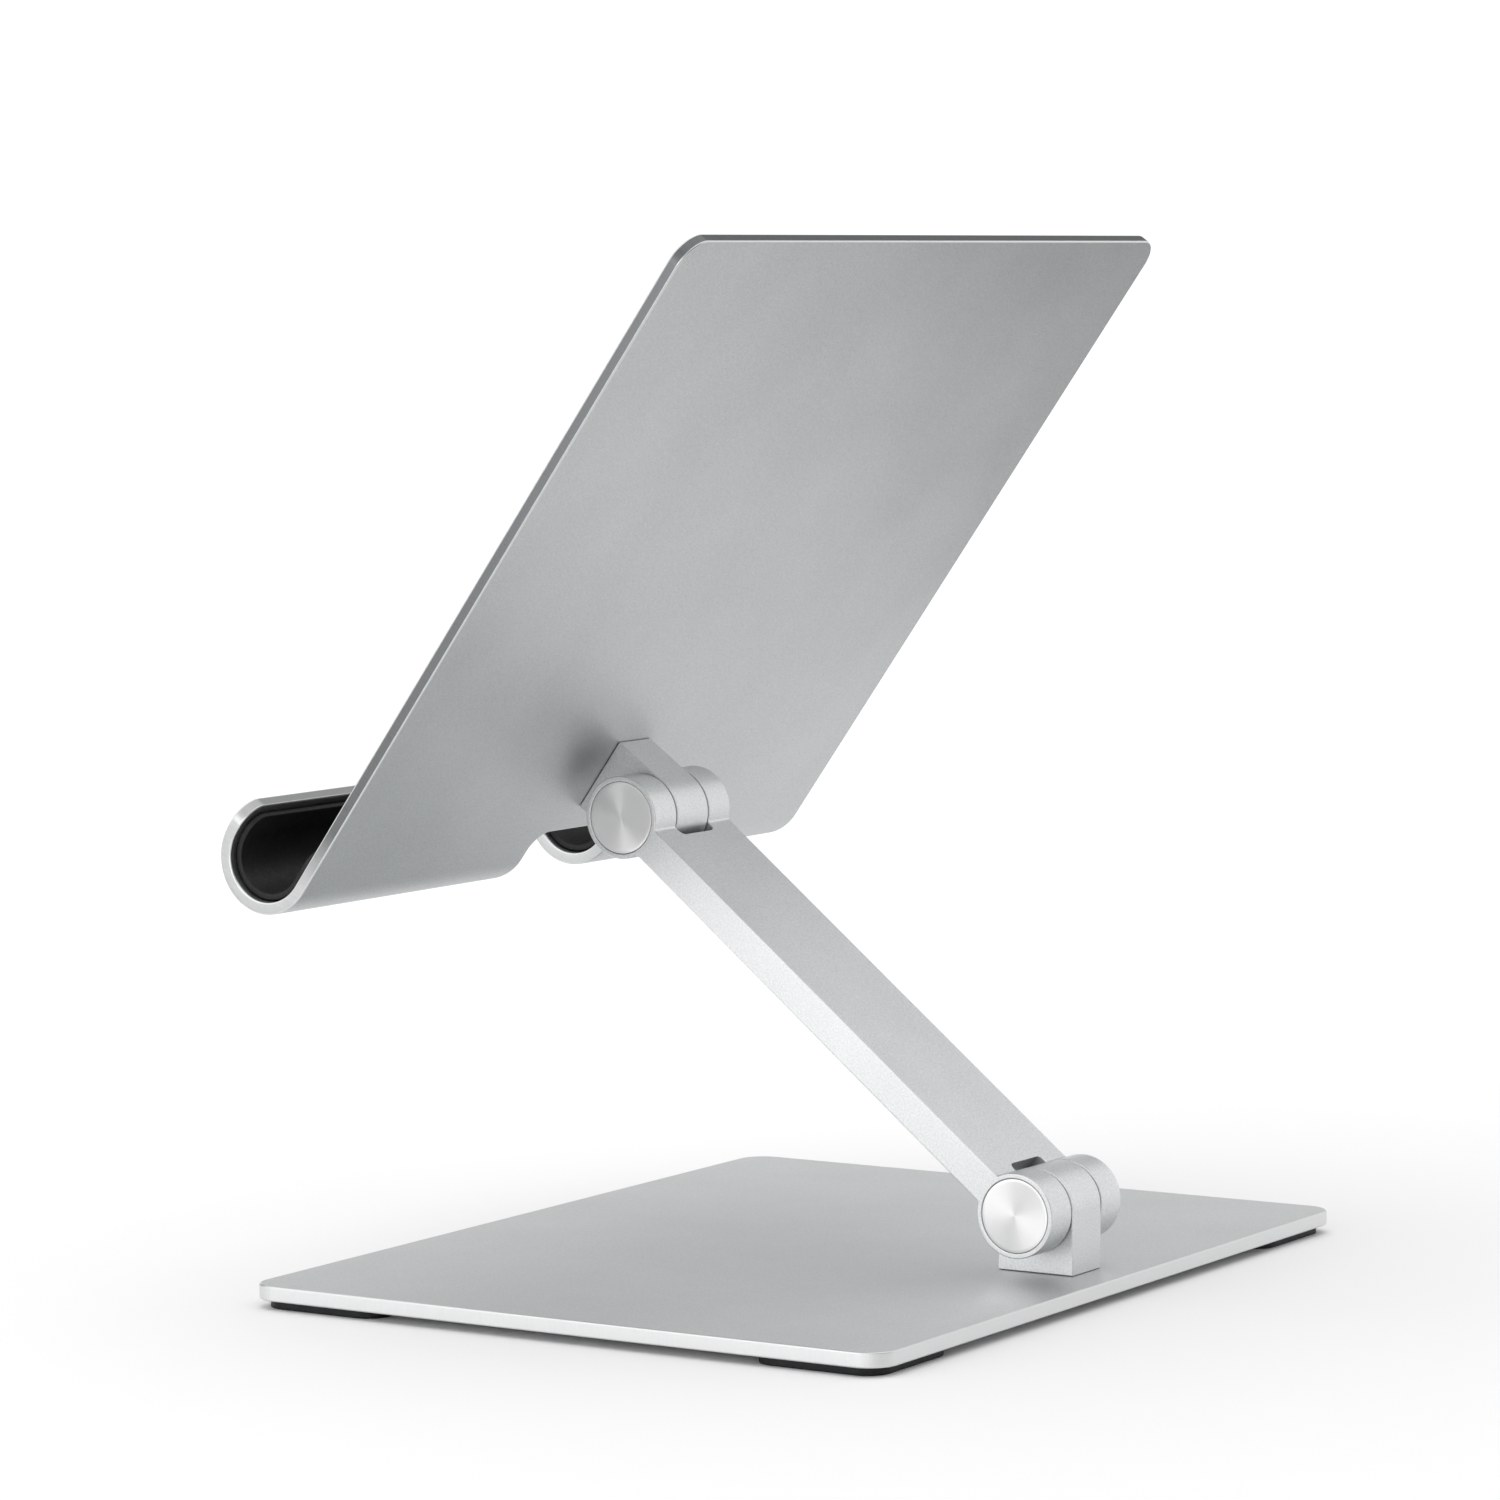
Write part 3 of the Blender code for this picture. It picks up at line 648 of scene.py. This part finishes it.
def make_caps():
    """Flat spun discs with a fine rounded edge, one in each ear."""
    inner = CAP_OUTSIDE - CAP_THICKNESS
    profile = [(inner, 0), (inner, CAP_RADIUS)]
    profile += [(CAP_OUTSIDE - CAP_EDGE + y, CAP_RADIUS - CAP_EDGE + x)
                for x, y in arc(0, 0, CAP_EDGE, 0, 90, CAP_EDGE_STEPS)]
    profile += [(CAP_OUTSIDE, CAP_RADIUS * share) for share in CAP_RINGS]
    profile += [(CAP_OUTSIDE, 0)]
    for end, along in (("lower", 0.0), ("upper", ARM_LENGTH)):
        for hand, turn in (("right", 0.0), ("left", math.pi)):
            at = ARM_FRAME @ Matrix.Translation((0, along, 0)) @ Matrix.Rotation(turn, 4, "Z")
            weigh_normals(build(f"{end}_cap_{hand}", lathe(profile, ROUND_SIDES), at, (SPUN,),
                                "arm", [f"{end}_hinge_cap_{hand}"]))


# Back plate.


def bent(x, length, outward):
    """Places a point of the sheet: length runs down its front face and round the hook."""
    start = -BEND_START
    around = math.pi * BEND_RADIUS
    centre = PLATE_FRONT + BEND_RADIUS
    radius = BEND_RADIUS + outward
    if length <= start:
        return (x, -length, PLATE_FRONT - outward)
    if length >= start + around:
        return (x, BEND_START + length - start - around, centre + radius)
    turn = (length - start) / BEND_RADIUS
    return (x, BEND_START - radius * math.sin(turn), centre - radius * math.cos(turn))


def corner(distance, side, radius, inset, start, end):
    """(length, x) points of a rounded corner whose centre is at (distance, side)."""
    return [(distance + u, side + v)
            for u, v in arc(0, 0, radius - inset, start, end, CORNER_STEPS)]


def hook_rows(inset, low, high, end, radius):
    """(length, inner x, outer x) rows of one hook tab, from the start of its bend to its tip."""
    rows = []
    around = math.pi * BEND_RADIUS
    for i in range(BEND_STEPS + 1):
        rows.append((-BEND_START + around * i / BEND_STEPS, low + inset, high - inset))
    outer = corner(end - radius, high - radius, radius, inset, 90, 0)
    for length, x in outer:
        rows.append((length, low + high - x, x))
    return rows


def plate_rows(inset):
    """The back plate's panel rows and its right-hand hook's rows."""
    half = PLATE_WIDTH / 2
    top = corner(PLATE_CORNER - PLATE_TOP, half - PLATE_CORNER, PLATE_CORNER, inset, 180, 90)
    panel = [(length, -x, x) for length, x in top]
    fillet = corner(-NOTCH_TOP + NOTCH_CORNER, NOTCH_HALF_WIDTH - NOTCH_CORNER,
                    NOTCH_CORNER, -inset, 180, 90)
    tab = [(length, x, half - inset) for length, x in fillet]
    end = -BEND_START + math.pi * BEND_RADIUS + LIP_HEIGHT
    tab += hook_rows(inset, NOTCH_HALF_WIDTH, half, end, LIP_CORNER)
    return panel, tab


def liner_rows(inset):
    low = NOTCH_HALF_WIDTH + LINER_EDGE
    high = PLATE_WIDTH / 2 - LINER_EDGE
    end = -BEND_START + math.pi * BEND_RADIUS + LIP_HEIGHT - LINER_TIP
    top = corner(-LINER_TOP + LINER_CORNER, high - LINER_CORNER, LINER_CORNER, inset, 180, 90)
    rows = [(length, low + high - x, x) for length, x in top]
    return rows + hook_rows(inset, low, high, end, LINER_CORNER)


def quads(shape, first, second, material_index):
    count = len(first)
    for i in range(count):
        j = (i + 1) % count
        face = shape.faces.new((first[i], first[j], second[j], second[i]))
        face.material_index = material_index


def fill(shape, rows):
    """Faces between neighbouring rows of vertex pairs."""
    for (a, b), (c, d) in zip(rows, rows[1:]):
        shape.faces.new((a, b, d, c))


def pairs(shape, rows, sign, outward):
    return [[shape.verts.new(bent(sign * x, length, outward)) for x in (low, high)]
            for length, low, high in rows]


def make_back_panel():
    shape = bmesh.new()
    loops = []
    faces = []
    for inset, outward in rim(0.0, PLATE_THICKNESS, EDGE):
        panel_rows, tab_rows = plate_rows(inset)
        panel = pairs(shape, panel_rows, 1, outward)
        right = pairs(shape, tab_rows, 1, outward)
        left = pairs(shape, tab_rows, -1, outward)
        loop = [a for a, b in reversed(panel)] + [b for a, b in panel]
        loop += [b for a, b in right] + [a for a, b in reversed(right)]
        loop += [a for a, b in left] + [b for a, b in reversed(left)]
        loops.append(loop)
        faces.append((panel, right, left))
    for step, (first, second) in enumerate(zip(loops, loops[1:])):
        quads(shape, first, second, band_material(step, len(loops)))
    for panel, right, left in (faces[0], faces[-1]):
        fill(shape, panel)
        fill(shape, right)
        fill(shape, left)
        shape.faces.new((panel[-1][0], panel[-1][1], right[0][1], right[0][0],
                         left[0][0], left[0][1]))
    weigh_normals(build("back_panel", shape, PLATE_FRAME, (SATIN, PAINTED_HIGHLIGHT_EDGE, PLATE_SIDE_PAINTED_SHADE_AND_LIGHT),
                        "plate", ["back_plate"]))


def make_hook_liners():
    for hand, sign in (("right", 1), ("left", -1)):
        shape = bmesh.new()
        loops = []
        ends = []
        for inset, outward in rim(-GAP - PAD_THICKNESS, -GAP, RUBBER_EDGE):
            rows = pairs(shape, liner_rows(inset), sign, outward)
            loops.append([a for a, b in rows] + [b for a, b in reversed(rows)])
            ends.append(rows)
        for first, second in zip(loops, loops[1:]):
            quads(shape, first, second, 0)
        fill(shape, ends[0])
        fill(shape, ends[-1])
        weigh_normals(build(f"silicone_liner_{hand}", shape, PLATE_FRAME, (SILICONE,), "plate",
                            [f"hook_liner_{hand}"]))


def make_front_pad():
    high = PLATE_TOP - PAD_EDGE
    half_v = (high - PAD_BOTTOM) / 2
    outline = rounded_rectangle(PLATE_WIDTH / 2 - PAD_EDGE, half_v, PAD_CORNER)
    shape = slab(outline, 0.0, PAD_THICKNESS, RUBBER_EDGE, flat)
    at = PLATE_FRAME @ Matrix.Translation((0, (high + PAD_BOTTOM) / 2, PLATE_FRONT + GAP))
    weigh_normals(build("silicone_pad", shape, at, (SILICONE,) * 3, "plate",
                        ["front_pad"]))


def dress_hidden_parts():
    """Better materials for the hinge hardware that stays as it is."""
    finishes = {"bolt": ZINC, "nut": ZINC, "disc_spring": SPRING, "washer": NYLON, "screw": ZINC}
    for node, made in frame["nodes"].items():
        for word, finish in finishes.items():
            if word in node:
                for held in made.material_slots:
                    held.material = finish


# Studio.


def make_camera():
    camera = bpy.data.cameras.new("camera")
    camera.lens = CAMERA_LENS
    camera.sensor_width = CAMERA_SENSOR
    camera.clip_start = CAMERA_NEAR
    made = bpy.data.objects.new("camera", camera)
    bpy.context.scene.collection.objects.link(made)
    turn = (CAMERA_AIM - CAMERA_PLACE).to_track_quat("-Z", "Y")
    turn = turn @ Quaternion((0, 0, 1), CAMERA_ROLL)
    made.matrix_world = Matrix.Translation(CAMERA_PLACE) @ turn.to_matrix().to_4x4()
    bpy.context.scene.camera = made


def area_light(name, location, aim, size, power):
    light = bpy.data.lights.new(name, "AREA")
    light.shape = "RECTANGLE"
    light.size = size[0]
    light.size_y = size[1]
    light.energy = power
    made = bpy.data.objects.new(name, light)
    bpy.context.scene.collection.objects.link(made)
    location = Vector(location)
    turn = (Vector(aim) - location).to_track_quat("-Z", "Y")
    made.matrix_world = Matrix.Translation(location) @ turn.to_matrix().to_4x4()


def make_floor():
    """A pale disc that fades into the white backdrop."""
    shape = bmesh.new()
    bmesh.ops.create_circle(shape, cap_ends=True, radius=FLOOR_FADE[1], segments=FLOOR_SIDES)
    nodes = Nodes("pale_floor")
    away = nodes.add("ShaderNodeVectorMath", operation="LENGTH")
    nodes.join(nodes.place, away.inputs[0])
    nodes.join(nodes.remap(away.outputs["Value"], 1.0, 0.0, *FLOOR_FADE),
               nodes.shader.inputs["Alpha"])
    nodes.finish(nodes.colour(nodes.noise(3.0, 2.0), shades((0.965, 0.965, 0.965), 0.004)),
                 nodes.remap(nodes.noise(5.0, 2.0), 0.80, 0.90),
                 nodes.bump(nodes.noise(900.0, 2.0), 0.00002, 0.1), specular=0.2)
    mesh = bpy.data.meshes.new("floor")
    shape.to_mesh(mesh)
    shape.free()
    mesh.materials.append(nodes.material)
    made = bpy.data.objects.new("floor", mesh)
    bpy.context.scene.collection.objects.link(made)


def make_studio():
    scene = bpy.context.scene
    scene.view_settings.view_transform = "Standard"
    world = bpy.data.worlds.new("studio")
    scene.world = world
    world.use_nodes = True
    tree = world.node_tree
    background = tree.nodes["Background"]
    seen = tree.nodes.new("ShaderNodeLightPath")
    strength = tree.nodes.new("ShaderNodeMapRange")
    strength.inputs["To Min"].default_value = ROOM_LIGHT
    strength.inputs["To Max"].default_value = BACKDROP_LIGHT
    tree.links.new(seen.outputs["Is Camera Ray"], strength.inputs["Value"])
    tree.links.new(strength.outputs["Result"], background.inputs["Strength"])
    background.inputs["Color"].default_value = (1.0, 1.0, 1.0, 1.0)
    sun = bpy.data.lights.new("ceiling", "SUN")
    sun.energy = CEILING_LIGHT
    sun.angle = CEILING_SPREAD
    made = bpy.data.objects.new("ceiling", sun)
    scene.collection.objects.link(made)
    area_light("key_softbox", (1.1, -0.95, 0.5), (0, 0, 0.06), (2.4, 1.4), KEY_LIGHT)
    area_light("edge_softbox", (1.5, 0.05, 0.20), (0, 0, 0.07), (2.2, 0.7), EDGE_LIGHT)
    area_light("low_fill", (-1.2, -0.85, 0.22), (0, 0, 0.05), (1.4, 0.4), LOW_FILL)
    area_light("side_fill", (-1.2, 0.75, 0.35), (0, 0, 0.05), (1.8, 1.3), SIDE_FILL)


def main():
    make_camera()
    make_base()
    make_feet()
    make_block("base_block", Matrix.Translation(LOWER_AXIS), LOWER_AXIS_HEIGHT, "base",
               "lower_hinge_block")
    make_block("plate_block", UNDER_PLATE, UPPER_AXIS_HEIGHT, "plate", "upper_hinge_block")
    make_arm()
    make_caps()
    make_back_panel()
    make_hook_liners()
    make_front_pad()
    dress_hidden_parts()
    for name, side in (("front", -1), ("rear", 1)):
        at = Matrix.Translation((0, LOWER_AXIS.y + side * SCREW_SPACING / 2, BASE_LOW.z))
        make_screw(f"base_screw_{name}", at, "base", f"lower_block_screw_{name}")
    make_floor()
    make_studio()


main()
